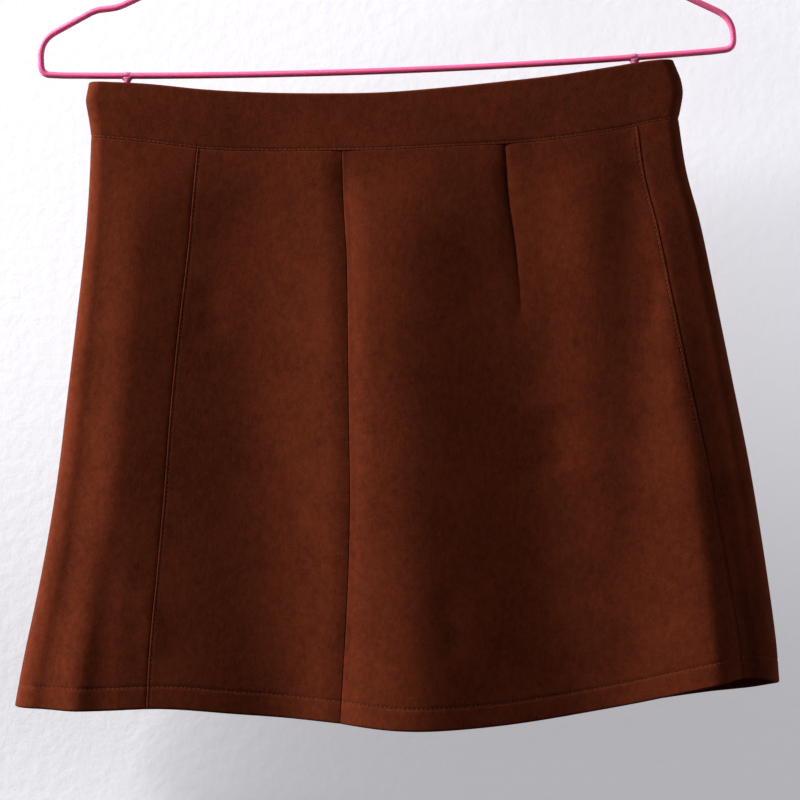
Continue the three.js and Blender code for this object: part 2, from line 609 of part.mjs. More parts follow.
// The zip's slider at the top of the closed zip, and its pull tab hanging from the slider's bridge.
function zipPull() {
  const level = SLIDER.below / BAND_SIDES[BAND_SIDES.length - 1].down;
  const lower = level + TAB.length / BAND_SIDES[BAND_SIDES.length - 1].down;
  const places = [level, lower].map((at) => {
    const r = ring('band', at);
    return clothPoint(r, aroundAt(r, 'back', ZIP_LINE));
  });
  const seat = new THREE.Group();
  seat.position.copy(places[0]);
  seat.rotation.x = Math.atan2(places[1].y - places[0].y, places[0].z - places[1].z);
  group.add(seat);
  const { width, height, thickness, seat: gap } = SLIDER;
  const { ear, axis } = BRIDGE;
  const out = gap + thickness; // the slider's outer face
  const pin = out + axis; // the tab's bar turns here
  const body = new THREE.BoxGeometry(width, thickness, height);
  body.translate(0, gap + thickness / 2, -height / 2);
  const hinge = -height * BRIDGE.hinge;
  const reach = TAB.bar + TAB.bore;
  const foot = out - BRIDGE.root;
  const bridge = new THREE.Shape();
  bridge.moveTo(foot, hinge - reach - ear);
  bridge.absarc(pin, hinge, reach + ear, -HALF_TURN / 2, HALF_TURN / 2, false);
  bridge.lineTo(foot, hinge + reach + ear);
  bridge.lineTo(foot, hinge + reach);
  bridge.lineTo(pin, hinge + reach);
  bridge.absarc(pin, hinge, reach, HALF_TURN / 2, -HALF_TURN / 2, true);
  bridge.lineTo(foot, hinge - reach);
  const arch = new THREE.ExtrudeGeometry(bridge, { depth: ear, bevelEnabled: false, curveSegments: 8 });
  arch.applyMatrix4(new THREE.Matrix4().set(0, 0, 1, 0, 1, 0, 0, 0, 0, 1, 0, 0, 0, 0, 0, 1));
  arch.translate(-ear / 2, 0, 0);
  add('zip_slider', toGeometry(toSolid(body).add(toSolid(arch))), zipFinish, seat);

  const half = TAB.width / 2;
  const side = ear / 2 + TAB.play;
  const eye = reach + ear + TAB.play;
  const lug = new THREE.Shape();
  lug.moveTo(-half * TAB.shoulder, 0);
  lug.lineTo(-half, -TAB.length + half);
  lug.absarc(0, -TAB.length + half, half, HALF_TURN, 2 * HALF_TURN, false);
  lug.lineTo(half * TAB.shoulder, 0);
  const hole = new THREE.Path();
  hole.moveTo(-side, -BRIDGE.root);
  hole.lineTo(side, -BRIDGE.root);
  hole.lineTo(side, -eye);
  hole.lineTo(-side, -eye);
  const leaf = plate(lug.getPoints(8), [hole], TAB.thickness);
  const bar = new THREE.CylinderGeometry(TAB.bar, TAB.bar, 2 * half * TAB.shoulder, WIRE_SIDES);
  bar.rotateZ(HALF_TURN / 2);
  const tab = new THREE.Group();
  tab.position.set(0, pin, hinge);
  seat.add(tab);
  add('zip_pull_tab', toGeometry(toSolid(leaf).add(toSolid(bar))), zipFinish, tab);
}

hanger();
BAR_HOOKS.forEach(ribbonLoop);
waistband();
sidePanel('left_side_panel', 'back', SEAMS.backLeft, 'front', SEAMS.frontLeft, 3, [10, 50]);
facePanel('front_left_panel', 'front', SEAMS.frontLeft, SEAMS.frontMiddle, 84);
const dart = {
  lines: [dartLine(-DART.width), dartLine(0), dartLine(DART.width)],
  before: 84,
  after: 66,
  columns: DART.columns,
};
facePanel('front_right_panel', 'front', SEAMS.frontMiddle, SEAMS.frontRight, 170, [dart]);
sidePanel('right_side_panel', 'front', SEAMS.frontRight, 'back', SEAMS.backRight, 1, [10, 50]);
facePanel('back_right_panel', 'back', SEAMS.backRight, SEAMS.backMiddle, 126);
facePanel('back_left_panel', 'back', SEAMS.backMiddle, SEAMS.backLeft, 126);
zipPull();

export default group;
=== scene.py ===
"""Dresses a brown suede mini skirt that hangs by two ribbon loops from a pink coated wire hanger.

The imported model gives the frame: +Z up, the origin inside the top of the hanger's hook, and the shown
face towards -Y. The cloth is made again here as finer shells on the form of its solids, with rounded seams, a
sewn dart, stitches, creases and a suede nap. Sizes are in millimetres until the last step, which makes them
metres.
"""

import logging
import math
from dataclasses import dataclass, field
from enum import Enum
from typing import Callable, Iterable, Sequence

import bmesh
import bpy
import numpy as np
from mathutils import Matrix, Vector

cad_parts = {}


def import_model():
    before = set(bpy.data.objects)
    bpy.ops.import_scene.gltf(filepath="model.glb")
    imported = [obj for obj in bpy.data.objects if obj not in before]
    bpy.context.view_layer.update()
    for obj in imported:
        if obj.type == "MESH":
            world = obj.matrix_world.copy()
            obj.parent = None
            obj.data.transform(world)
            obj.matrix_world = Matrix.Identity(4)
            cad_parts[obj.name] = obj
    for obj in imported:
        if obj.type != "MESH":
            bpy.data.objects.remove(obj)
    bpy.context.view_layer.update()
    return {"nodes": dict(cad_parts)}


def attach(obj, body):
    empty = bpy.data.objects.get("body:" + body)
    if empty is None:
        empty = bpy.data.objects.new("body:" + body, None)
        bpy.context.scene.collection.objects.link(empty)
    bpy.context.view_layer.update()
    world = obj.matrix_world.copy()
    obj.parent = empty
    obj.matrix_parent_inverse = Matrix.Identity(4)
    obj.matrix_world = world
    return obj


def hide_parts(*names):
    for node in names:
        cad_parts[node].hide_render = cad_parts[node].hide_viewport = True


MM = 0.001
log = logging.getLogger("skirt")

Array = np.ndarray
Line = Callable[["Ring"], Array]


class Face(Enum):
    """The two faces of the hung skirt."""

    FRONT = "front"
    BACK = "back"


class Part(Enum):
    """The two tubes that the cloth is sewn into."""

    BAND = "band"
    SKIRT = "skirt"


class Proud(Enum):
    """Which edge of a seam stands proud of the other, seen from the front."""

    LEFT = -1
    RIGHT = 1


@dataclass(frozen=True)
class SideRow:
    """Where the two side folds lie at one level, seen from the front."""

    down: float
    left: float
    right: float


@dataclass(frozen=True)
class EdgeRow:
    """Heights of the edges below the hanger's bar at one place across, from -1 at the left fold to 1."""

    across: float
    top: float
    seam: float
    hem_front: float
    hem_back: float


@dataclass(frozen=True)
class Seam:
    """A vertical seam: its place across its face at the waist seam, half way and at the hem, and its dip."""

    face: Face
    top: float
    middle: float
    hem: float
    proud: Proud
    depth: float = 0.3
    width: float = 3.0

    def across(self, level: Array) -> Array:
        """Place across the face, on a parabola through the three values."""
        bend = 2 * self.top + 2 * self.hem - 4 * self.middle
        return self.top + level * (4 * self.middle - 3 * self.top - self.hem) + level**2 * bend


@dataclass(frozen=True)
class Dart:
    """The dart: its place across the front at the waist seam and at its point, its length and its dip.

    The groove is the sharp crease along its stitching, and the dimple is the small hollow at its point.
    """

    top: float = 0.404
    end: float = 0.393
    length: float = 0.285
    depth: float = 1.6
    width: float = 12.0
    groove: float = 0.7
    groove_width: float = 0.9
    dimple: float = 0.5
    dimple_level: float = 0.02
    dimple_width: float = 4.0


@dataclass(frozen=True)
class HangingFold:
    """A soft fold from the waist seam to the hem: x, half width, and how far out it stands at each end."""

    top: float
    hem: float
    width: float
    rise_top: float
    rise_hem: float


@dataclass(frozen=True)
class Crease:
    """A short soft ridge or trough, from one place to another of a face, in x and depth below the bar."""

    face: Face
    start: tuple[float, float]
    end: tuple[float, float]
    width: float
    rise: float


@dataclass(frozen=True)
class Ring:
    """One or more levels of a tube of cloth: outlines, fold radius and belly, as columns of an array."""

    part: Part
    level: Array
    left: Array
    right: Array
    radius: Array
    belly: Array

    @property
    def flat(self) -> Array:
        """Width of a face between its two side folds."""
        return self.right - self.left - 2 * self.radius

    def x_at(self, across: Array) -> Array:
        """The x of a place across a face."""
        return self.left + (self.right - self.left) * (across + 1) / 2

    def across_at(self, x: Array) -> Array:
        """The place across a face of an x."""
        return np.clip((2 * x - self.left - self.right) / (self.right - self.left), -1, 1)


FRONT_LEFT = Seam(Face.FRONT, -0.637, -0.684, -0.648, Proud.RIGHT)
FRONT_MIDDLE = Seam(Face.FRONT, -0.147, -0.154, -0.15, Proud.RIGHT, depth=2.2, width=14)
FRONT_RIGHT = Seam(Face.FRONT, 0.856, 0.866, 0.897, Proud.LEFT)
BACK_RIGHT = Seam(Face.BACK, 0.63, 0.62, 0.62, Proud.LEFT)
BACK_MIDDLE = Seam(Face.BACK, -0.116, -0.116, -0.116, Proud.LEFT, depth=2.2, width=14)
BACK_LEFT = Seam(Face.BACK, -0.858, -0.86, -0.86, Proud.RIGHT)
SEAMS = (FRONT_LEFT, FRONT_MIDDLE, FRONT_RIGHT, BACK_RIGHT, BACK_MIDDLE, BACK_LEFT)


def mix(a: Array | float, b: Array | float, share: Array | float) -> Array | float:
    """The value between a and b at a share of the way."""
    return a + (b - a) * share


def soft(share: Array) -> Array:
    """A smooth step from 0 to 1."""
    s = np.clip(share, 0, 1)
    return s * s * (3 - 2 * s)


def fall(share: Array) -> Array:
    """A fall from 1 to 0, steep at first."""
    return np.clip(1 - share, 0, None) ** 2


def read(rows: Sequence, key: str, column: str, at: Array) -> Array:
    """Reads a table smoothly between its rows.

    Args:
        rows: The table's rows, in rising order of key.
        key: Name of the column to look up.
        column: Name of the column to read.
        at: Values of key to read at.

    Returns:
        The column's values there.
    """
    keys = np.array([getattr(row, key) for row in rows], float)
    values = np.array([getattr(row, column) for row in rows], float)
    slopes = np.empty(len(rows))
    slopes[1:-1] = (values[2:] - values[:-2]) / (keys[2:] - keys[:-2])
    slopes[0] = (values[1] - values[0]) / (keys[1] - keys[0])
    slopes[-1] = (values[-1] - values[-2]) / (keys[-1] - keys[-2])
    i = np.clip(np.searchsorted(keys, at, side="right") - 1, 0, len(rows) - 2)
    span = keys[i + 1] - keys[i]
    s = (at - keys[i]) / span
    bend = s * (1 - s) * (slopes[i] * span * (1 - s) - slopes[i + 1] * span * s)
    return mix(values[i], values[i + 1], s * s * (3 - 2 * s)) + bend


@dataclass(frozen=True)
class HungForm:
    """The outer form of the hung cloth, as the solids have it, with the finer creases added."""

    bar_depth: float = 200.0
    side_length: float = 326.0
    band_radius: float = 8.0
    hem_radius: float = 15.0
    band_belly: float = 1.2
    hem_belly: float = 4.5
    ease: float = 26.0
    step: float = 1e-3
    band_share: float = 0.3
    fold_level: float = 0.18
    held_least: float = 0.3
    held_level: float = 0.06
    lap: float = 0.4
    lap_width: float = 3.0
    crease_fade: float = 0.35
    dart: Dart = Dart()
    band_sides: tuple[SideRow, ...] = (
        SideRow(0, -172, 164),
        SideRow(6, -173.4, 166.4),
        SideRow(11, -174.3, 168.3),
        SideRow(18, -173.4, 169.2),
        SideRow(26, -172.4, 167.6),
        SideRow(32, -172, 166),
    )
    skirt_sides: tuple[SideRow, ...] = (
        SideRow(0, -172, 166),
        SideRow(30, -174.4, 169.5),
        SideRow(60, -177.7, 176.3),
        SideRow(100, -183.6, 183.1),
        SideRow(150, -191.4, 191.3),
        SideRow(200, -199.4, 199.4),
        SideRow(250, -209.8, 205.7),
        SideRow(300, -222.2, 210.8),
        SideRow(326, -228, 212),
    )
    edges: tuple[EdgeRow, ...] = (
        EdgeRow(-1, 5, 37, 361.5, 362),
        EdgeRow(-0.8, 8, 41.8, 364.3, 365),
        EdgeRow(-0.6, 12.6, 46.9, 365.1, 366),
        EdgeRow(-0.4, 15.6, 49.3, 370.6, 371),
        EdgeRow(-0.2, 17.3, 50.4, 376, 376.5),
        EdgeRow(0, 18, 51.2, 381.4, 381.5),
        EdgeRow(0.2, 16.7, 50.6, 382.1, 382.5),
        EdgeRow(0.4, 14.5, 50.2, 379.2, 380.5),
        EdgeRow(0.6, 11.9, 48.4, 373, 376),
        EdgeRow(0.8, 7.9, 44.4, 364, 372),
        EdgeRow(0.9, 5.7, 41.2, 360, 369.4),
        EdgeRow(1, 4.5, 39, 362.5, 367.5),
    )
    front_folds: tuple[HangingFold, ...] = (
        HangingFold(-150, -196, 32, 1.2, 7.5),
        HangingFold(-92, -74, 42, -4.2, -9),
        HangingFold(-2, 0, 38, 4, 9.5),
        HangingFold(74, 98, 38, -3.2, -7.5),
        HangingFold(108, 106, 22, 3.6, -0.5),
        HangingFold(142, 132, 18, -2.6, -1),
        HangingFold(164, 184, 32, 1.5, 10),
    )
    back_folds: tuple[HangingFold, ...] = (
        HangingFold(-128, -160, 34, 2, 7.5),
        HangingFold(-66, -80, 36, -2.4, -6.5),
        HangingFold(6, 14, 40, 3.2, 8.5),
        HangingFold(78, 92, 34, -2.8, -7),
        HangingFold(132, 168, 28, 2, 7),
    )
    creases: tuple[Crease, ...] = (
        Crease(Face.FRONT, (-68.6, 256), (-54.5, 264), 1.6, -0.5),
        Crease(Face.FRONT, (84, 198), (92, 246), 12, -1.2),
        Crease(Face.FRONT, (-152, 292), (-141, 338), 7, 0.8),
        Crease(Face.FRONT, (20, 296), (28, 348), 9, -0.8),
        Crease(Face.FRONT, (-168, 238), (-184, 420), 11, -2.0),
        Crease(Face.FRONT, (150, 112), (144, 168), 6, -0.6),
        Crease(Face.FRONT, (-112, 118), (-100, 160), 8, -0.7),
        Crease(Face.BACK, (-102, 238), (-84, 250), 1.8, -0.5),
        Crease(Face.BACK, (62, 148), (74, 214), 11, -1.1),
        Crease(Face.BACK, (112, 276), (97, 318), 6, 0.7),
        Crease(Face.BACK, (-140, 140), (-131, 196), 8, -0.8),
        Crease(Face.BACK, (6, 290), (-4, 346), 9, 0.7),
    )

    def rings(self, part: Part, levels: Iterable[float]) -> Ring:
        """The tube's outline at some levels, 0 at its upper edge and 1 at its lower one."""
        level = np.asarray(list(levels), float)[:, None]
        band = part is Part.BAND
        rows = self.band_sides if band else self.skirt_sides
        down = level * rows[-1].down
        below = np.zeros_like(level) if band else level
        radius = mix(self.band_radius, self.hem_radius, below)
        belly = mix(self.band_belly, self.hem_belly, below)
        left, right = (read(rows, "down", side, down) for side in ("left", "right"))
        return Ring(part, level, left, right, radius, belly)

    def fold_rise(self, folds: Sequence[HangingFold], r: Ring, x: Array) -> Array:
        """How far the hanging folds push a face out at x."""
        band = r.part is Part.BAND
        rise = np.zeros_like(x)
        for fold in folds:
            at = fold.top if band else mix(fold.top, fold.hem, r.level)
            size = fold.rise_top if band else mix(fold.rise_top, fold.rise_hem, r.level)
            rise += size * np.exp(-(((x - at) / fold.width) ** 2))
        if band:
            return rise * self.band_share * r.level**2
        return rise * mix(self.band_share, 1, soft(r.level / self.fold_level))

    def crease_rise(self, face: Face, x: Array, depth: Array) -> Array:
        """How far the short creases push a face out at x and a depth below the bar."""
        rise = np.zeros_like(x)
        for crease in self.creases:
            if crease.face is not face:
                continue
            start, end = np.array(crease.start), np.array(crease.end)
            run = end - start
            length = np.hypot(*run)
            along = ((x - start[0]) * run[0] + (depth - start[1]) * run[1]) / length
            off = ((x - start[0]) * run[1] - (depth - start[1]) * run[0]) / length
            share = along / length
            fade = soft(share / self.crease_fade) * soft((1 - share) / self.crease_fade)
            rise += crease.rise * fade * np.exp(-((off / crease.width) ** 2))
        return rise

    def sewn_rise(self, face: Face, r: Ring, x: Array) -> Array:
        """How far the seams and the dart of a face push it out at x, with dips as less than nothing."""
        if r.part is Part.BAND:
            return np.zeros_like(x)
        held = mix(self.held_least, 1, soft(r.level / self.held_level))
        rise = np.zeros_like(x)
        for seam in SEAMS:
            if seam.face is not face:
                continue
            off = x - r.x_at(seam.across(r.level))
            rise -= held * seam.depth * fall(np.abs(off) / seam.width)
            lap = self.lap * np.clip(1 - np.abs(off) / self.lap_width, 0, 1)
            rise += lap * (off * seam.proud.value > 0)
        if face is Face.FRONT:
            share = np.minimum(r.level / self.dart.length, 1)
            off = x - r.x_at(mix(self.dart.top, self.dart.end, share))
            rise -= held * self.dart.depth * np.sqrt(1 - share) * fall(np.abs(off) / self.dart.width)
        return rise

    def depth_at(self, r: Ring, across: Array, back: Array) -> Array:
        """Depth of the cloth below the bar at a place across it; back is 0 in front and 1 behind."""
        seam = read(self.edges, "across", "seam", across)
        if r.part is Part.BAND:
            return mix(read(self.edges, "across", "top", across), seam, r.level)
        front, rear = (read(self.edges, "across", name, across) for name in ("hem_front", "hem_back"))
        return mix(seam, mix(front, rear, back), r.level)

    def points(self, r: Ring, around: Array, sewn: bool = True) -> Array:
        """Points of the outer form.

        Args:
            r: The levels.
            around: Place round the tube: 0 to 1 over the front, to 2 round the right fold, to 3 over the
                back from right to left, and to 4 round the left fold.
            sewn: Whether the dips of the seams and the dart are in it.

        Returns:
            An array of x, y and z in millimetres, with a row for each level.
        """
        turn = np.mod(around, 4)
        on_front, on_right, on_back = turn < 1, (turn >= 1) & (turn < 2), (turn >= 2) & (turn < 3)
        share = np.clip(np.where(on_back, 3 - turn, turn), 0, 1)
        x_face = r.left + r.radius + share * r.flat
        ease = soft(np.minimum(share, 1 - share) * r.flat / self.ease)
        belly = r.belly * (1 - (2 * share - 1) ** 4)
        across = r.across_at(x_face)
        out = {}
        for face, folds, back in ((Face.FRONT, self.front_folds, 0.0), (Face.BACK, self.back_folds, 1.0)):
            depth = self.depth_at(r, across, np.full_like(across, back))
            rise = self.fold_rise(folds, r, x_face) * ease + self.crease_rise(face, x_face, depth) * ease
            if sewn:
                rise = rise + self.sewn_rise(face, r, x_face)
            out[face] = (r.radius + belly + rise, depth)
        angle = np.where(on_right, turn - 1, turn - 3) * math.pi
        reach = r.radius * np.sin(angle)
        x_fold = np.where(on_right, r.right - r.radius + reach, r.left + r.radius - reach)
        y_fold = np.where(on_right, -1, 1) * r.radius * np.cos(angle)
        depth_fold = self.depth_at(r, r.across_at(x_fold), (1 + y_fold / r.radius) / 2)
        x = np.where(on_front | on_back, x_face, x_fold)
        y = np.where(on_front, -out[Face.FRONT][0], np.where(on_back, out[Face.BACK][0], y_fold))
        depth = np.where(on_front, out[Face.FRONT][1], np.where(on_back, out[Face.BACK][1], depth_fold))
        return np.stack([x, y, -self.bar_depth - depth], axis=-1)

    def normals(self, r: Ring, around: Array) -> Array:
        """Outward directions of the form, without the dips of its seams."""
        along = self.points(r, around + self.step, False) - self.points(r, around - self.step, False)
        level = r.level[:, 0]
        lower = self.rings(r.part, np.minimum(level + self.step, 1))
        upper = self.rings(r.part, np.maximum(level - self.step, 0))
        down = self.points(lower, around, False) - self.points(upper, around, False)
        normal = np.cross(down, along)
        return normal / np.linalg.norm(normal, axis=-1, keepdims=True)


def around_at(r: Ring, face: Face, across: Array | float) -> Array:
    """A place across a face as a place round the tube."""
    share = (r.x_at(across) - r.left - r.radius) / r.flat
    return share if face is Face.FRONT else 3 - share


def seam_line(seam: Seam, shift: float = 0.0) -> Line:
    """A line down a seam, moved along the cloth by some millimetres."""

    def line(r: Ring) -> Array:
        """Place round the tube at each level."""
        level = np.zeros_like(r.level) if r.part is Part.BAND else r.level
        return around_at(r, seam.face, seam.across(level)) + shift / r.flat

    return line


def moved(line: Line, turns: float) -> Line:
    """A line some stretches further round the tube."""
    return lambda r: line(r) + turns


def fold_line(around: float) -> Line:
    """A line down the start or end of a side fold."""
    return lambda r: np.full_like(r.level, around)


def between(a: Line, b: Line, share: float) -> Line:
    """A line at a share of the way from one line to another."""
    return lambda r: mix(a(r), b(r), share)


def round_off(distance: Array, radius: float) -> Array:
    """How far a rounded edge falls away at a distance from the edge."""
    reach = np.clip(radius - distance, 0, radius)
    return radius - np.sqrt(np.clip(radius**2 - reach**2, 0, None))


@dataclass(frozen=True)
class Graded:
    """Columns of a shell: lines at chosen offsets beside a seam or the dart."""

    near: tuple[float, ...] = (0.0, 0.12, 0.3, 0.55, 0.9, 1.3, 1.7, 2.2, 2.9, 4.0, 5.6)
    dart: tuple[float, ...] = (-12, -9, -6.2, -4, -2.4, -1.2, -0.5, 0, 0.4, 1.0, 1.9, 3.4, 5.6, 8.6, 12)
    rows_low: tuple[float, ...] = (
        0.0, 0.12, 0.3, 0.6, 1.0, 1.6, 2.6, 4.2, 6.0, 8.0, 10.0, 11.4, 12.2, 12.7, 13.1, 13.6, 14.6, 16.2,
    )
    rows_high: tuple[float, ...] = (0.0, 0.12, 0.3, 0.6, 1.0, 1.7, 2.8, 4.4)


@dataclass(frozen=True)
class ClothSizes:
    """Thicknesses, gaps and roundings of the sewn cloth, and how much longer it is in its middle."""

    gap: float = 0.02
    cloth: float = 1.3
    band: float = 2.4
    hem: float = 2.5
    hem_turn: float = 12.8
    turn_over: float = 0.9
    turn_ease: float = 1.6
    edge_round: float = 0.42
    hem_round: float = 1.15
    band_round: float = 1.1
    spacing: float = 2.2
    rim: float = 0.1
    panel_extra: float = 8.0
    band_extra: float = 2.0


def shell_mesh(name: str, outer: Array, inner: Array) -> bpy.types.Mesh:
    """A closed wall of cloth between two sheets of points.

    Args:
        name: Name of the mesh.
        outer: Points of the outer face by row and column, in millimetres.
        inner: Points of the inner face.

    Returns:
        The mesh, in metres and smooth.
    """
    rows, columns = outer.shape[:2]
    bm = bmesh.new()
    bmesh.ops.create_grid(bm, x_segments=columns - 1, y_segments=rows - 1, size=1)
    place = bm.verts.layers.int.new("place")
    for vert in bm.verts:
        column = round((vert.co.x + 1) / 2 * (columns - 1))
        row = round((1 - vert.co.y) / 2 * (rows - 1))
        vert[place] = row * columns + column
    made = bmesh.ops.extrude_face_region(bm, geom=bm.faces[:], use_keep_orig=True)
    lining = {v for v in made["geom"] if isinstance(v, bmesh.types.BMVert)}
    outside, inside = outer.reshape(-1, 3) * MM, inner.reshape(-1, 3) * MM
    for vert in bm.verts:
        vert.co = (inside if vert in lining else outside)[vert[place]]
    bm.verts.layers.int.remove(place)
    bmesh.ops.recalc_face_normals(bm, faces=bm.faces)
    return finished(bm, name)


def finished(bm: bmesh.types.BMesh, name: str, smooth: bool = True) -> bpy.types.Mesh:
    """Turns a bmesh into a mesh datablock and frees it."""
    for face in bm.faces:
        face.smooth = smooth
    mesh = bpy.data.meshes.new(name)
    bm.to_mesh(mesh)
    bm.free()
    return mesh


def add_piece(mesh: bpy.types.Mesh, body: str, material: bpy.types.Material) -> bpy.types.Object:
    """Links a finished mesh, dresses it and lets it ride on a body.

    Args:
        mesh: The piece's mesh, in place.
        body: The body that it rides on.
        material: Its finish.

    Returns:
        The new object.
    """
    piece = bpy.data.objects.new(mesh.name, mesh)
    bpy.context.scene.collection.objects.link(piece)
    mesh.materials.append(material)
    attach(piece, body)
    log.info("%s: %d faces", piece.name, len(mesh.polygons))
    return piece


@dataclass(frozen=True)
class StitchRow:
    """A row of machine stitches along a line of points."""

    name: str
    pitch: float = 2.6
    length: float = 1.9
    thread: float = 0.27
    sunk: float = 0.03

    def mesh(self, points: Array, normals: Array) -> bpy.types.Mesh:
        """Small rounded stitches, each half sunk at its two ends.

        Args:
            points: The line that the stitches follow, in millimetres.
            normals: Outward directions there.

        Returns:
            One mesh with every stitch of the row.
        """
        steps = np.linalg.norm(np.diff(points, axis=0), axis=1)
        run = np.concatenate([[0], np.cumsum(steps)])
        bm = bmesh.new()
        for middle in np.arange(self.pitch / 2, run[-1] - self.pitch / 2, self.pitch):
            ends = [self.sample(run, points, middle + step) for step in (-0.5, 0.5)]
            along = Vector(ends[1] - ends[0]).normalized()
            out = Vector(self.sample(run, normals, middle))
            side = along.cross(out).normalized()
            out = side.cross(along)
            centre = Vector((ends[0] + ends[1]) / 2) - out * self.sunk
            turn = Matrix((along, side, out)).transposed().to_4x4()
            size = Matrix.Diagonal((self.length / 2, self.thread, self.thread, 1))
            matrix = Matrix.Translation(centre) @ turn @ size
            bmesh.ops.create_uvsphere(bm, u_segments=6, v_segments=6, radius=1, matrix=matrix)
        bmesh.ops.scale(bm, vec=(MM, MM, MM), verts=bm.verts)
        return finished(bm, self.name)

    @staticmethod
    def sample(run: Array, rows: Array, at: float) -> Array:
        """The row of an array at a distance along the line."""
        return np.array([np.interp(at, run, rows[:, k]) for k in range(3)])


@dataclass(frozen=True)
class PanelCut:
    """One panel of the skirt: its two seams, which of them have edge stitches, and what lies between."""

    name: str
    start: Seam
    end: Seam
    stitched: tuple[Seam, ...] = ()
    folds: tuple[float, ...] = ()
    dart: bool = False


CUTS = (
    PanelCut("left_side_panel", BACK_LEFT, FRONT_LEFT, folds=(3, 4)),
    PanelCut("front_left_panel", FRONT_LEFT, FRONT_MIDDLE, stitched=(FRONT_LEFT,)),
    PanelCut("front_right_panel", FRONT_MIDDLE, FRONT_RIGHT, stitched=(FRONT_RIGHT,), dart=True),
    PanelCut("right_side_panel", FRONT_RIGHT, BACK_RIGHT, folds=(1, 2)),
    PanelCut("back_right_panel", BACK_RIGHT, BACK_MIDDLE, stitched=(BACK_RIGHT,)),
    PanelCut("back_left_panel", BACK_MIDDLE, BACK_LEFT, stitched=(BACK_LEFT,)),
)


@dataclass
class Cloth:
    """Everything sewn from suede: six panels and the waistband, with their stitches."""

    form: HungForm
    suede: bpy.types.Material
    thread: bpy.types.Material
    body: str
    sizes: ClothSizes = ClothSizes()
    graded: Graded = Graded()
    edge_stitch: float = 1.7
    channel: float = 0.28
    channel_width: float = 0.5
    hem_channel_width: float = 0.6
    band_stitch: float = 1.1
    pieces: list[bpy.types.Object] = field(default_factory=list)

    def dart_line(self, shift: float) -> Line:
        """A line down the dart, moved along the cloth; below the dart it goes straight on."""
        dart = self.form.dart

        def line(r: Ring) -> Array:
            """Place round the tube at each level."""
            share = np.minimum(r.level / dart.length, 1)
            return around_at(r, Face.FRONT, mix(dart.top, dart.end, share)) + shift / r.flat

        return line

    def columns(self, cut: PanelCut) -> list[Line]:
        """The lines down a panel, close together at its seams and the dart."""
        half = self.sizes.gap / 2
        opening = [seam_line(cut.start, half + o) for o in self.graded.near]
        closing = [seam_line(cut.end, -half - o) for o in reversed(self.graded.near)]
        if cut.start.face is Face.BACK and cut.end.face is Face.FRONT:
            closing = [moved(line, 4) for line in closing]
        lines = list(opening)
        stops: list[list[Line]] = [[fold_line(at)] for at in cut.folds]
        if cut.dart:
            stops.append([self.dart_line(o) for o in self.graded.dart])
        stops.append(closing)
        for stop in stops:
            start, end = lines[-1], stop[0]
            count = self.count(start, end)
            lines += [between(start, end, step / count) for step in range(1, count)]
            lines += stop
        return lines

    def count(self, start: Line, end: Line) -> int:
        """How many columns fit between two lines at the hem."""
        r = self.form.rings(Part.SKIRT, [1.0])
        around = np.linspace(start(r)[0, 0], end(r)[0, 0], 24)[None, :]
        points = self.form.points(r, around)[0]
        length = np.linalg.norm(np.diff(points, axis=0), axis=1).sum()
        return max(round(length / self.sizes.spacing), 2)

    def levels(self) -> Array:
        """The rows of a panel, close together at the waist seam and in the turned-up hem."""
        length = self.form.side_length + self.sizes.panel_extra
        top = [(self.sizes.gap / 2 + o) / length for o in self.graded.rows_high]
        low = [1 - o / length for o in reversed(self.graded.rows_low)]
        count = round((low[0] - top[-1]) * length / self.sizes.spacing)
        return np.array([*top, *[mix(top[-1], low[0], step / count) for step in range(1, count)], *low])

    def panel(self, cut: PanelCut) -> bpy.types.Object:
        """Builds one panel, its edge stitches and its part of the hem's stitches."""
        r = self.form.rings(Part.SKIRT, self.levels())
        around = np.concatenate([line(r) for line in self.columns(cut)], axis=1)
        flat, normals = self.form.points(r, around), self.form.normals(r, around)
        across = np.linalg.norm(np.diff(flat, axis=1), axis=2)
        across = np.concatenate([np.zeros_like(r.level), np.cumsum(across, axis=1)], axis=1)
        down = np.linalg.norm(np.diff(flat, axis=0), axis=2)
        down = np.concatenate([np.zeros((1, flat.shape[1])), np.cumsum(down, axis=0)], axis=0)
        from_start, from_end = across, across[:, -1:] - across
        from_top, from_hem = down, down[-1:, :] - down
        size = self.sizes
        shave = round_off(from_start, size.edge_round) + round_off(from_end, size.edge_round)
        shave += round_off(from_top, size.edge_round) + round_off(from_hem, size.hem_round)
        for seam, distance in ((cut.start, from_start), (cut.end, from_end)):
            if seam in cut.stitched:
                shave += self.groove(distance - self.edge_stitch, self.channel_width)
        shave += self.groove(from_hem - size.hem_turn, self.hem_channel_width)
        if cut.dart:
            shave += self.dart_line_groove(r, around)
        turned = soft((size.hem_turn + size.turn_over - from_hem) / size.turn_ease)
        thickness = mix(size.cloth, size.hem, turned)
        bottom = round_off(from_hem, size.hem_round)
        outer = flat - normals * shave[..., None]
        inner = flat - normals * np.maximum(thickness - bottom, shave + size.rim)[..., None]
        piece = add_piece(shell_mesh(f"suede_{cut.name}", outer, inner), self.body, self.suede)
        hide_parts(cut.name)
        self.pieces.append(piece)
        rows = self.stitches(cut, outer, normals, from_start, from_end, from_hem)
        return piece

    def groove(self, off: Array, width: float) -> Array:
        """How deep the cloth is drawn in at a distance from a row of stitches."""
        return self.channel * np.exp(-((off / width) ** 2))

    def dart_line_groove(self, r: Ring, around: Array) -> Array:
        """The sharp crease along the dart's stitching, and the small dimple at its point."""
        dart = self.form.dart
        off = (around - self.dart_line(0)(r)) * r.flat
        sewn = np.sqrt(1 - np.minimum(r.level / dart.length, 1))
        level = (r.level - dart.length) / dart.dimple_level
        point = np.exp(-(level**2)) * np.exp(-((off / dart.dimple_width) ** 2))
        return dart.groove * sewn * np.exp(-np.abs(off) / dart.groove_width) + dart.dimple * point

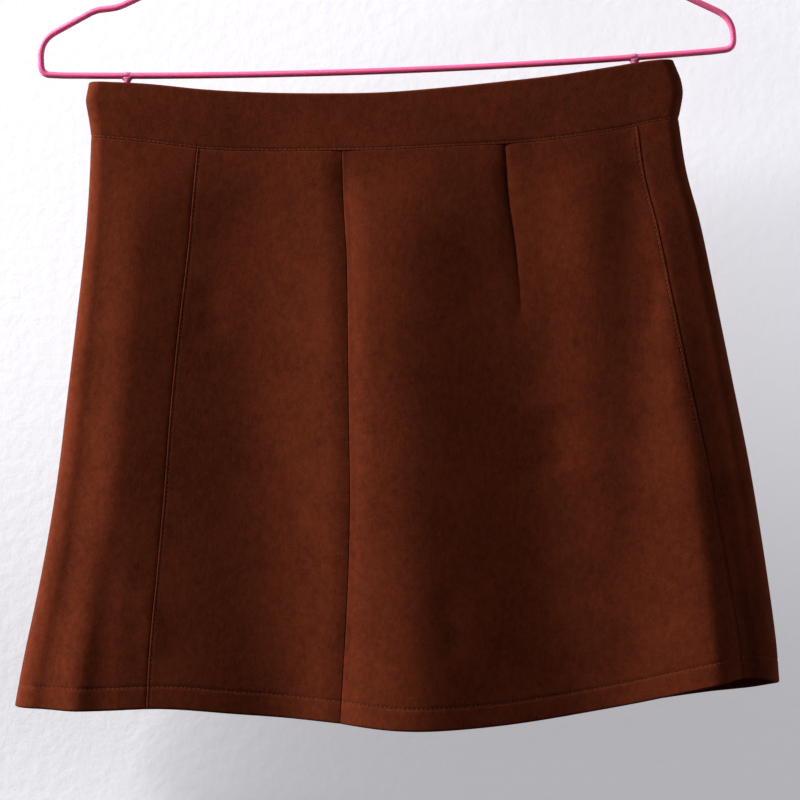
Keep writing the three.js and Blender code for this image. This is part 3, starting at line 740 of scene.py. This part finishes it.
    def stitches(
        self, cut: PanelCut, outer: Array, normals: Array, from_start: Array, from_end: Array, from_hem: Array
    ) -> list[bpy.types.Object]:
        """The rows of stitches on one panel.

        Args:
            cut: The panel.
            outer: Its outer points.
            normals: Outward directions there.
            from_start: Distance of each point from the panel's first seam.
            from_end: Distance from its last seam.
            from_hem: Distance from the hem.

        Returns:
            The stitches' objects.
        """
        rows = []
        for side, seam, distance in (("start", cut.start, from_start), ("end", cut.end, from_end)):
            if seam not in cut.stitched:
                continue
            middle = distance.shape[0] // 2
            column = int(np.argmin(np.abs(distance[middle] - self.edge_stitch)))
            rows.append((f"stitches_{cut.name}_{side}", outer[:, column], normals[:, column]))
        row = int(np.argmin(np.abs(from_hem.mean(axis=1) - self.sizes.hem_turn)))
        rows.append((f"stitches_{cut.name}_hem", outer[row], normals[row]))
        return [self.stitch_row(*entry) for entry in rows]

    def stitch_row(self, name: str, points: Array, normals: Array) -> bpy.types.Object:
        """Adds one row of stitches."""
        return add_piece(StitchRow(name).mesh(points, normals), self.body, self.thread)

    def waistband(self) -> bpy.types.Object:
        """Builds the doubled waistband, open at the zip, and the row of stitches along its seam."""
        size = self.sizes
        height = self.form.band_sides[-1].down + size.band_extra
        near = [o / height for o in self.graded.rows_high]
        top, low = near, [1 - size.gap / 2 / height - o for o in reversed(near)]
        count = round((low[0] - top[-1]) * height / size.spacing)
        levels = [*top, *[mix(top[-1], low[0], step / count) for step in range(1, count)], *low]
        r = self.form.rings(Part.BAND, levels)
        zip_seam = BACK_MIDDLE
        half = size.gap / 2
        lines = [seam_line(zip_seam, half + o) for o in self.graded.near]
        for stop in (fold_line(3), fold_line(4), fold_line(5), fold_line(6)):
            lines += self.filled(lines[-1], stop) + [stop]
        closing = [moved(seam_line(zip_seam, -half - o), 4) for o in reversed(self.graded.near)]
        lines += self.filled(lines[-1], closing[0]) + closing
        around = np.concatenate([line(r) for line in lines], axis=1)
        flat, normals = self.form.points(r, around), self.form.normals(r, around)
        across = np.linalg.norm(np.diff(flat, axis=1), axis=2)
        across = np.concatenate([np.zeros_like(r.level), np.cumsum(across, axis=1)], axis=1)
        down = np.linalg.norm(np.diff(flat, axis=0), axis=2)
        down = np.concatenate([np.zeros((1, flat.shape[1])), np.cumsum(down, axis=0)], axis=0)
        from_low = down[-1:, :] - down
        inset = round_off(across, size.edge_round) + round_off(across[:, -1:] - across, size.edge_round)
        inset += round_off(down, size.band_round) + round_off(from_low, size.edge_round)
        inset += self.groove(from_low - self.band_stitch, self.channel_width)
        outer = flat - normals * inset[..., None]
        depth = np.maximum(size.band - round_off(down, size.band_round), inset + size.rim)
        inner = flat - normals * depth[..., None]
        piece = add_piece(shell_mesh("suede_waistband", outer, inner), self.body, self.suede)
        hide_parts("waistband")
        row = int(np.argmin(np.abs(from_low.mean(axis=1) - self.band_stitch)))
        stitches = self.stitch_row("stitches_waistband", outer[row], normals[row])
        self.pieces.append(piece)
        return piece

    def filled(self, start: Line, end: Line) -> list[Line]:
        """Evenly spaced lines between two lines."""
        count = self.count(start, end)
        return [between(start, end, step / count) for step in range(1, count)]


@dataclass(frozen=True)
class HangerSizes:
    """Sizes of the coated wire hanger; heights in the corners are above the ends of its bar."""

    bar_depth: float = 200.0
    bar_half: float = 199.3
    bow: float = 4.8
    wire: float = 1.9
    apex: float = 108.0
    hook_radius: float = 19.0
    hook_from: float = -50.0
    hook_to: float = 196.0
    neck: float = 34.0
    lead: float = 11.0
    turns: float = 2.5
    pitch: float = 4.3
    twist_gap: float = 0.35
    twist_start: float = 3.0
    hooks: tuple[tuple[float, float], ...] = ((-150.0, -1.0), (142.0, 1.0))
    hook_wire: float = 1.6
    hook_drop: float = 10.0
    hook_bend: float = 5.4
    hook_tip: float = 3.5
    tip_drop: float = 1.12
    flare_start: float = 3.4
    flare_height: float = 4.4
    flare_reach: float = 1.7
    flare_bend: float = 2.2
    weld_rise: float = 0.35
    weld: tuple[float, float, float] = (3.6, 2.0, 1.95)


@dataclass
class Hanger:
    """The hanger: one length of steel wire dipped in a pink coating."""

    coat: bpy.types.Material
    body: str
    size: HangerSizes = HangerSizes()

    def bar_height(self, x: float) -> float:
        """Height of the bowed bar's centre at x, above its ends."""
        return -self.size.bow * (1 - (x / self.size.bar_half) ** 2)

    def route(self) -> list[Vector]:
        """The wire from the hook's tip down the left arm, along the bar, up again and round the neck."""
        s = self.size
        round_, centre = s.hook_radius + s.wire, Vector((0, 0, -s.hook_radius))
        angles = np.radians(np.linspace(s.hook_to, s.hook_from, 64))
        stations = [centre + round_ * Vector((math.cos(a), 0, math.sin(a))) for a in angles]
        leave, zero = math.radians(s.hook_from), -s.bar_depth
        neck_top = zero + s.apex + s.neck
        join = stations[-1]
        down_hook = Vector((math.sin(leave), 0, -math.cos(leave)))
        control = (join + s.lead * down_hook, Vector((0, 0, neck_top + s.lead)))
        end = Vector((0, 0, neck_top))
        for step in range(1, 21):
            t = step / 20
            point = (1 - t) ** 3 * join + 3 * (1 - t) ** 2 * t * control[0]
            stations.append(point + 3 * (1 - t) * t * t * control[1] + t**3 * end)
        corners = (
            (0, s.apex, 7), (-145, 41, 4), (-154, 37.3, 4), (-167, 36.2, 4), (-s.bar_half, 20, 10),
            (-s.bar_half, 0, 6), (s.bar_half, 0, 6), (s.bar_half, 18, 10), (167, 34.6, 4), (154, 36, 4),
            (145, 40, 4), (s.twist_gap + 2 * s.wire, s.apex - s.twist_start, 0),
        )
        places = [Vector((x, 0, zero + z)) for x, z, _ in corners]
        for i, (place, following) in enumerate(zip(places, places[1:])):
            ease = corners[i][2]
            previous = places[i - 1] if i else end
            before = place + (previous - place).normalized() * ease
            after = place + (following - place).normalized() * ease
            for step in range(9):
                t = step / 8
                stations.append((1 - t) ** 2 * before + 2 * t * (1 - t) * place + t * t * after)
            if corners[i][1] == 0 and corners[i + 1][1] == 0:
                for x in np.linspace(-s.bar_half + 6, s.bar_half - 6, 60)[1:-1]:
                    stations.append(Vector((x, 0, zero + self.bar_height(x))))
        radius, base = 2 * s.wire + s.twist_gap, zero + s.apex - s.twist_start
        for step in range(int(s.turns * 36) + 1):
            turns = step / 36
            angle = turns * math.tau
            height = base + turns * s.pitch
            stations.append(Vector((radius * math.cos(angle), radius * math.sin(angle), height)))
        return stations

    def bar_hook(self, x: float, outward: float) -> list[Vector]:
        """The small hook under the bar, from the bar's centre to its tip."""
        s = self.size
        top = -s.bar_depth + self.bar_height(x)
        bottom = top - s.hook_drop
        stations = [Vector((x, 0, top - 1)), Vector((x, 0, bottom))]
        for step in range(1, 19):
            angle = step / 18 * math.pi
            reach = s.hook_bend * (1 - math.cos(angle))
            stations.append(Vector((x + outward * reach, 0, bottom - s.hook_bend * math.sin(angle))))
        stations.append(Vector((x + outward * 2 * s.hook_bend, 0, bottom + s.hook_tip)))
        return stations

    def wire_mesh(self, name: str, stations: Sequence[Vector], radius: float) -> bpy.types.Mesh:
        """A round wire with flat capped ends along some stations."""
        curve = bpy.data.curves.new(name, "CURVE")
        curve.dimensions = "3D"
        curve.bevel_depth = radius * MM
        curve.bevel_resolution = 6
        curve.use_fill_caps = True
        spline = curve.splines.new("POLY")
        spline.points.add(len(stations) - 1)
        for point, station in zip(spline.points, stations):
            point.co = (*(station * MM), 1)
        holder = bpy.data.objects.new(name, curve)
        mesh = bpy.data.meshes.new_from_object(holder)
        bpy.data.objects.remove(holder)
        bpy.data.curves.remove(curve)
        return mesh

    def build(self) -> bpy.types.Object:
        """Builds the hanger as one dipped piece."""
        s = self.size
        bm = bmesh.new()
        bm.from_mesh(self.wire_mesh("wire", self.route(), s.wire))
        for x, outward in s.hooks:
            bm.from_mesh(self.wire_mesh("bar_hook", self.bar_hook(x, outward), s.hook_wire))
            bm.from_mesh(self.flare(x, -s.bar_depth + self.bar_height(x)))
        tip = Matrix.Translation(self.route()[0] * MM)
        drop = s.wire * s.tip_drop * MM
        bmesh.ops.create_uvsphere(bm, u_segments=20, v_segments=12, radius=drop, matrix=tip)
        piece = add_piece(finished(bm, "coated_hanger"), self.body, self.coat)
        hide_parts("hanger")
        return piece

    def flare(self, x: float, top: float) -> bpy.types.Mesh:
        """The coating drawn out round a bar hook's root, and the bead of the weld on the bar.

        Args:
            x: The hook's place along the bar.
            top: Height of the bar's centre there.

        Returns:
            The mesh of both, in metres.
        """
        s = self.size
        bm = bmesh.new()
        rounds = 9
        ring = bmesh.ops.create_circle(bm, segments=24, radius=1, cap_ends=True)["verts"]
        face = ring[0].link_faces[0]
        levels = [face.verts[:]]
        for _ in range(rounds):
            face = self.raised(bm, face)
            levels.append(face.verts[:])
        for step, verts in enumerate(levels):
            rise = step / rounds
            reach = s.hook_wire * (0.96 + s.flare_reach * rise**s.flare_bend)
            height = top - s.wire - s.flare_start + rise * s.flare_height
            for vert in verts:
                flat = Vector((vert.co.x, vert.co.y, 0)).normalized()
                vert.co = Vector((x + flat.x * reach, flat.y * min(reach, s.wire), height))
        bead = Matrix.Translation((x, 0, top + s.weld_rise)) @ Matrix.Diagonal((*s.weld, 1))
        bmesh.ops.create_uvsphere(bm, u_segments=24, v_segments=14, radius=1, matrix=bead)
        bmesh.ops.scale(bm, vec=(MM, MM, MM), verts=bm.verts)
        bmesh.ops.recalc_face_normals(bm, faces=bm.faces)
        return finished(bm, "flare")

    def raised(self, bm: bmesh.types.BMesh, face: bmesh.types.BMFace) -> bmesh.types.BMFace:
        """Extrudes a cap into one more stretch and returns the new cap."""
        made = bmesh.ops.extrude_face_region(bm, geom=[face])
        bmesh.ops.delete(bm, geom=[face], context="FACES_ONLY")
        return next(part for part in made["geom"] if isinstance(part, bmesh.types.BMFace))


@dataclass
class HangingLoops:
    """The two satin ribbon loops on the bar hooks."""

    ribbon: bpy.types.Material
    body: str

    def build(self) -> None:
        """Rounds and dresses a copy of each loop's solid."""
        for name in ("left_hanging_loop", "right_hanging_loop"):
            mesh = merged_copy(name, f"ribbon_{name}", 0.00018, 3)
            piece = add_piece(mesh, self.body, self.ribbon)
            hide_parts(name)


def merged_copy(node: str, name: str, bevel: float, segments: int) -> bpy.types.Mesh:
    """A copy of a node's mesh with its vertices merged and its edges rounded."""
    source = bpy.data.objects[node].data
    bm = bmesh.new()
    bm.from_mesh(source)
    bmesh.ops.remove_doubles(bm, verts=bm.verts, dist=1e-6)
    bmesh.ops.dissolve_limit(bm, angle_limit=math.radians(1), verts=bm.verts, edges=bm.edges)
    sharp = [e for e in bm.edges if e.calc_face_angle(0) > math.radians(25)]
    bmesh.ops.bevel(
        bm, geom=sharp, offset=bevel, segments=segments, profile=0.5, affect="EDGES", material=-1,
        clamp_overlap=True,
    )
    return finished(bm, name)


@dataclass
class ZipPull:
    """The slider and pull tab of the back zip."""

    metal: bpy.types.Material
    slider_body: str
    tab_body: str

    def build(self) -> None:
        """Rounds and dresses copies of the slider and the tab."""
        for node, name, body in (
            ("zip_slider", "lacquered_slider", self.slider_body),
            ("zip_pull_tab", "lacquered_pull_tab", self.tab_body),
        ):
            piece = add_piece(merged_copy(node, name, 0.00012, 2), body, self.metal)
            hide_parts(node)


class Nodes:
    """A small helper that fills a node tree."""

    def __init__(self, tree: bpy.types.NodeTree) -> None:
        """Starts on a tree."""
        self.tree = tree

    def add(self, kind: str, **values: object) -> bpy.types.Node:
        """Adds a node, sets its attributes, and its inputs where a name isn't an attribute."""
        node = self.tree.nodes.new(kind)
        for key, value in values.items():
            if hasattr(node, key):
                setattr(node, key, value)
            else:
                node.inputs[key.replace("_", " ")].default_value = value
        return node

    def link(self, source: bpy.types.NodeSocket, target: bpy.types.NodeSocket) -> None:
        """Links an output to an input."""
        self.tree.links.new(source, target)


def brushed_nap() -> bpy.types.NodeTree:
    """A node group for brushed nap: soft smeared patches, short marks and fine fibres.

    Returns:
        The group, with inputs Vector, Patch, Mark and Fibre, and outputs Shade and Height.
    """
    group = bpy.data.node_groups.new("brushed_nap", "ShaderNodeTree")
    interface = group.interface
    interface.new_socket("Vector", in_out="INPUT", socket_type="NodeSocketVector")
    for name, value in (("Patch", 0.35), ("Mark", 0.3), ("Fibre", 0.35)):
        interface.new_socket(name, in_out="INPUT", socket_type="NodeSocketFloat").default_value = value
    interface.new_socket("Shade", in_out="OUTPUT", socket_type="NodeSocketFloat")
    interface.new_socket("Height", in_out="OUTPUT", socket_type="NodeSocketFloat")
    n = Nodes(group)
    given, result = n.add("NodeGroupInput"), n.add("NodeGroupOutput")
    streak = n.add("ShaderNodeMapping")
    streak.inputs["Scale"].default_value = (1.0, 1.0, 0.7)
    n.link(given.outputs["Vector"], streak.inputs["Vector"])
    total = None
    for name, scale, detail, vector in (
        ("Patch", 26.0, 4.0, given.outputs["Vector"]),
        ("Mark", 300.0, 5.0, streak.outputs["Vector"]),
        ("Fibre", 1500.0, 3.0, streak.outputs["Vector"]),
    ):
        noise = n.add("ShaderNodeTexNoise", Scale=scale, Detail=detail, Roughness=0.62, Distortion=0.35)
        n.link(vector, noise.inputs["Vector"])
        centred = n.add("ShaderNodeMath", operation="SUBTRACT")
        n.link(noise.outputs["Fac"], centred.inputs[0])
        centred.inputs[1].default_value = 0.5
        scaled = n.add("ShaderNodeMath", operation="MULTIPLY")
        n.link(centred.outputs[0], scaled.inputs[0])
        n.link(given.outputs[name], scaled.inputs[1])
        if total is None:
            total = scaled.outputs[0]
        else:
            joined = n.add("ShaderNodeMath", operation="ADD")
            n.link(total, joined.inputs[0])
            n.link(scaled.outputs[0], joined.inputs[1])
            total = joined.outputs[0]
    shade = n.add("ShaderNodeMath", operation="ADD", use_clamp=True)
    n.link(total, shade.inputs[0])
    shade.inputs[1].default_value = 0.5
    n.link(shade.outputs[0], result.inputs["Shade"])
    n.link(total, result.inputs["Height"])
    return group


def new_material(name: str) -> tuple[bpy.types.Material, Nodes, bpy.types.Node]:
    """A material with an empty Principled BSDF on its output."""
    material = bpy.data.materials.new(name)
    material.use_nodes = True
    material.node_tree.nodes.clear()
    n = Nodes(material.node_tree)
    shader, output = n.add("ShaderNodeBsdfPrincipled"), n.add("ShaderNodeOutputMaterial")
    n.link(shader.outputs[0], output.inputs["Surface"])
    return material, n, shader


@dataclass(frozen=True)
class SuedeFinish:
    """Short brown nap: matte, with a warm sheen and smeared lighter marks."""

    name: str = "suede"
    dark: tuple[float, float, float] = (0.036, 0.006, 0.0021)
    light: tuple[float, float, float] = (0.13, 0.0235, 0.0085)
    sheen: float = 0.05
    bump: float = 0.3
    patch: float = 0.7
    mark: float = 0.9
    fibre: float = 0.85

    def material(self, nap: bpy.types.NodeTree) -> bpy.types.Material:
        """Makes the suede."""
        material, n, shader = new_material(self.name)
        place = n.add("ShaderNodeTexCoord")
        brushed = n.add("ShaderNodeGroup", node_tree=nap)
        for socket, value in (("Patch", self.patch), ("Mark", self.mark), ("Fibre", self.fibre)):
            brushed.inputs[socket].default_value = value
        n.link(place.outputs["Object"], brushed.inputs["Vector"])
        colour = n.add("ShaderNodeMix", data_type="RGBA")
        colour.inputs[6].default_value = (*self.dark, 1)
        colour.inputs[7].default_value = (*self.light, 1)
        n.link(brushed.outputs["Shade"], colour.inputs[0])
        n.link(colour.outputs[2], shader.inputs["Base Color"])
        bump = n.add("ShaderNodeBump", Strength=self.bump, Distance=0.0006)
        n.link(brushed.outputs["Height"], bump.inputs["Height"])
        n.link(bump.outputs["Normal"], shader.inputs["Normal"])
        shader.inputs["Roughness"].default_value = 0.95
        shader.inputs["Specular IOR Level"].default_value = 0.03
        shader.inputs["Sheen Weight"].default_value = self.sheen
        shader.inputs["Sheen Roughness"].default_value = 0.38
        shader.inputs["Sheen Tint"].default_value = (0.9, 0.36, 0.17, 1)
        return material


@dataclass(frozen=True)
class PlainFinish:
    """A finish with one colour, a little uneven, such as thread, ribbon, coating or lacquer."""

    name: str
    colour: tuple[float, float, float]
    shade: float
    roughness: float
    scale: float
    bump: float
    metallic: float = 0.0
    specular: float = 0.5
    sheen: float = 0.0
    soft: float = 0.0

    def material(self, nap: bpy.types.NodeTree) -> bpy.types.Material:
        """Makes the finish, with its unevenness from the same brushed marks."""
        material, n, shader = new_material(self.name)
        place, size = n.add("ShaderNodeTexCoord"), n.add("ShaderNodeMapping")
        size.inputs["Scale"].default_value = (self.scale,) * 3
        n.link(place.outputs["Object"], size.inputs["Vector"])
        marks = n.add("ShaderNodeGroup", node_tree=nap)
        n.link(size.outputs["Vector"], marks.inputs["Vector"])
        colour = n.add("ShaderNodeMix", data_type="RGBA")
        colour.inputs[6].default_value = (*(c * (1 - self.shade) for c in self.colour), 1)
        colour.inputs[7].default_value = (*(min(c * (1 + self.shade), 1) for c in self.colour), 1)
        n.link(marks.outputs["Shade"], colour.inputs[0])
        n.link(colour.outputs[2], shader.inputs["Base Color"])
        bump = n.add("ShaderNodeBump", Strength=self.bump, Distance=0.0004)
        n.link(marks.outputs["Height"], bump.inputs["Height"])
        n.link(bump.outputs["Normal"], shader.inputs["Normal"])
        shader.inputs["Roughness"].default_value = self.roughness
        shader.inputs["Metallic"].default_value = self.metallic
        shader.inputs["Specular IOR Level"].default_value = self.specular
        shader.inputs["Subsurface Weight"].default_value = self.soft
        shader.inputs["Subsurface Radius"].default_value = (1.0, 0.35, 0.6)
        shader.inputs["Subsurface Scale"].default_value = 0.003
        shader.inputs["Sheen Weight"].default_value = self.sheen
        return material


THREAD = PlainFinish("thread", (0.1, 0.03, 0.013), 0.3, 0.8, 3.0, 0.2, specular=0.08)
RIBBON = PlainFinish("satin_ribbon", (0.07, 0.02, 0.01), 0.2, 0.38, 2.0, 0.2, sheen=0.3)
COATING = PlainFinish("pink_coating", (0.78, 0.13, 0.29), 0.12, 0.5, 1.6, 0.35, specular=0.3, soft=0.5)
LACQUER = PlainFinish("brown_lacquer", (0.11, 0.045, 0.025), 0.2, 0.3, 1.0, 0.15, metallic=0.7)


@dataclass(frozen=True)
class Studio:
    """The pale wall and floor, the lights and the camera. Its sizes down to top are in metres."""

    wall: float = 0.045
    floor: float = -1.05
    bend: float = 0.5
    reach: float = 3.5
    top: float = 2.2
    lens: float = 110.0
    sensor: float = 36.0
    frame: float = 460.4
    tilt: float = 2.137
    aim: tuple[float, float] = (-0.05, -394.4)

    def backdrop(self) -> None:
        """A sweep from the floor up to a wall behind the skirt, which can be seen through from behind."""
        bm = bmesh.new()
        start = self.wall - self.bend
        profile = [Vector((0, -self.reach, self.floor)), Vector((0, start, self.floor))]
        for step in range(1, 13):
            angle = step / 12 * math.pi / 2
            ahead, rise = self.bend * math.sin(angle), self.bend * (1 - math.cos(angle))
            profile.append(Vector((0, start + ahead, self.floor + rise)))
        profile.append(Vector((0, self.wall, self.top)))
        verts = [bm.verts.new(p + Vector((-self.reach, 0, 0))) for p in profile]
        edges = [bm.edges.new(pair) for pair in zip(verts, verts[1:])]
        made = bmesh.ops.extrude_edge_only(bm, edges=edges)
        new = [v for v in made["geom"] if isinstance(v, bmesh.types.BMVert)]
        bmesh.ops.translate(bm, verts=new, vec=(2 * self.reach, 0, 0))
        bmesh.ops.recalc_face_normals(bm, faces=bm.faces)
        if bm.faces[-1].normal.y > 0:
            bmesh.ops.reverse_faces(bm, faces=bm.faces)
        sweep = bpy.data.objects.new("backdrop", finished(bm, "backdrop"))
        sweep.data.materials.append(self.paint_and_painted_light())
        sweep.visible_shadow = False
        sweep.visible_diffuse = False
        bpy.context.scene.collection.objects.link(sweep)

    def paint_and_painted_light(self) -> bpy.types.Material:
        """A pale wall that glows with painted light, stronger high up and weaker low down as painted shade,
        and that lets the camera look through it from behind.
        """
        material, n, shader = new_material("pale_wall")
        shader.inputs["Base Color"].default_value = (0.42, 0.415, 0.437, 1)
        shader.inputs["Roughness"].default_value = 0.95
        shader.inputs["Specular IOR Level"].default_value = 0.1
        # The wall's emission is painted light, and its fall from high up to low down is painted shade.
        shader.inputs["Emission Color"].default_value = (0.95, 0.94, 1, 1)
        place, parts = n.add("ShaderNodeTexCoord"), n.add("ShaderNodeSeparateXYZ")
        n.link(place.outputs["Object"], parts.inputs[0])
        painted_light_falloff = n.add("ShaderNodeMapRange", interpolation_type="SMOOTHSTEP")
        for name, value in (("From Min", -0.62), ("From Max", -0.3), ("To Min", 0.4), ("To Max", 0.62)):
            painted_light_falloff.inputs[name].default_value = value
        n.link(parts.outputs["Z"], painted_light_falloff.inputs["Value"])
        n.link(painted_light_falloff.outputs["Result"], shader.inputs["Emission Strength"])
        grain = n.add("ShaderNodeTexNoise", Scale=150.0, Detail=3.0, Roughness=0.55)
        n.link(place.outputs["Object"], grain.inputs["Vector"])
        bump = n.add("ShaderNodeBump", Strength=0.3, Distance=0.0012)
        n.link(grain.outputs["Fac"], bump.inputs["Height"])
        n.link(bump.outputs["Normal"], shader.inputs["Normal"])
        clear, choice = n.add("ShaderNodeBsdfTransparent"), n.add("ShaderNodeMixShader")
        side = n.add("ShaderNodeNewGeometry")
        n.link(side.outputs["Backfacing"], choice.inputs[0])
        n.link(shader.outputs[0], choice.inputs[1])
        n.link(clear.outputs[0], choice.inputs[2])
        output = next(x for x in material.node_tree.nodes if x.type == "OUTPUT_MATERIAL")
        n.link(choice.outputs[0], output.inputs["Surface"])
        return material

    def light(
        self, name: str, place: tuple[float, float, float], size: float, power: float, warm: float
    ) -> None:
        """A square light that looks at the middle of the skirt."""
        lamp = bpy.data.lights.new(name, "AREA")
        lamp.size, lamp.energy = size, power
        lamp.color = (1, 1 - 0.06 * warm, 1 - 0.14 * warm)
        holder = bpy.data.objects.new(name, lamp)
        holder.location = place
        towards = Vector((0, 0, -0.35)) - Vector(place)
        holder.rotation_euler = towards.to_track_quat("-Z", "Y").to_euler()
        bpy.context.scene.collection.objects.link(holder)

    def lights(self) -> None:
        """A grazing key light from the upper left, two weak ones, and a soft light for the hidden face."""
        self.light("key", (-2.1, -0.5, 1.2), 1.0, 235, 0.05)
        self.light("fill", (0.2, -2.2, 0.3), 1.6, 0.8, 0.0)
        self.light("side", (2.0, 0.0, -0.2), 1.0, 14, 0.3)
        self.light("hidden_face", (-1.3, 1.1, 0.4), 0.9, 36, 0.1)
        world = bpy.data.worlds.new("studio")
        world.use_nodes = True
        world.node_tree.nodes["Background"].inputs["Color"].default_value = (0.9, 0.93, 1, 1)
        world.node_tree.nodes["Background"].inputs["Strength"].default_value = 0.085
        bpy.context.scene.world = world
        bpy.context.scene.view_settings.view_transform = "Standard"

    def camera(self) -> None:
        """The camera, level with the middle of the skirt and rolled as the photograph is."""
        data = bpy.data.cameras.new("camera")
        data.lens, data.sensor_width = self.lens, self.sensor
        data.clip_end = 50
        camera = bpy.data.objects.new("camera", data)
        distance = self.frame * self.lens / self.sensor
        turn = Matrix.Rotation(math.radians(self.tilt), 4, "Y") @ Matrix.Rotation(math.pi / 2, 4, "X")
        camera.matrix_world = Matrix.Translation((self.aim[0] * MM, -distance * MM, self.aim[1] * MM)) @ turn
        bpy.context.scene.collection.objects.link(camera)
        bpy.context.scene.camera = camera


def main() -> None:
    """Builds the scene: the studio, the hanger, the cloth, the loops and the zip."""
    logging.basicConfig(level=logging.INFO, format="%(message)s")
    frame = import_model()
    for node in frame["nodes"].values():
        log.info("node %s", node.name)
    studio = Studio()
    studio.camera()
    studio.backdrop()
    studio.lights()
    nap = brushed_nap()
    suede, thread = SuedeFinish().material(nap), THREAD.material(nap)
    Hanger(COATING.material(nap), "skirt").build()
    cloth = Cloth(HungForm(), suede, thread, "skirt")
    cloth.waistband()
    for cut in CUTS:
        cloth.panel(cut)
    HangingLoops(RIBBON.material(nap), "skirt").build()
    ZipPull(LACQUER.material(nap), "skirt", "pull_tab").build()


if __name__ == "__main__":
    main()
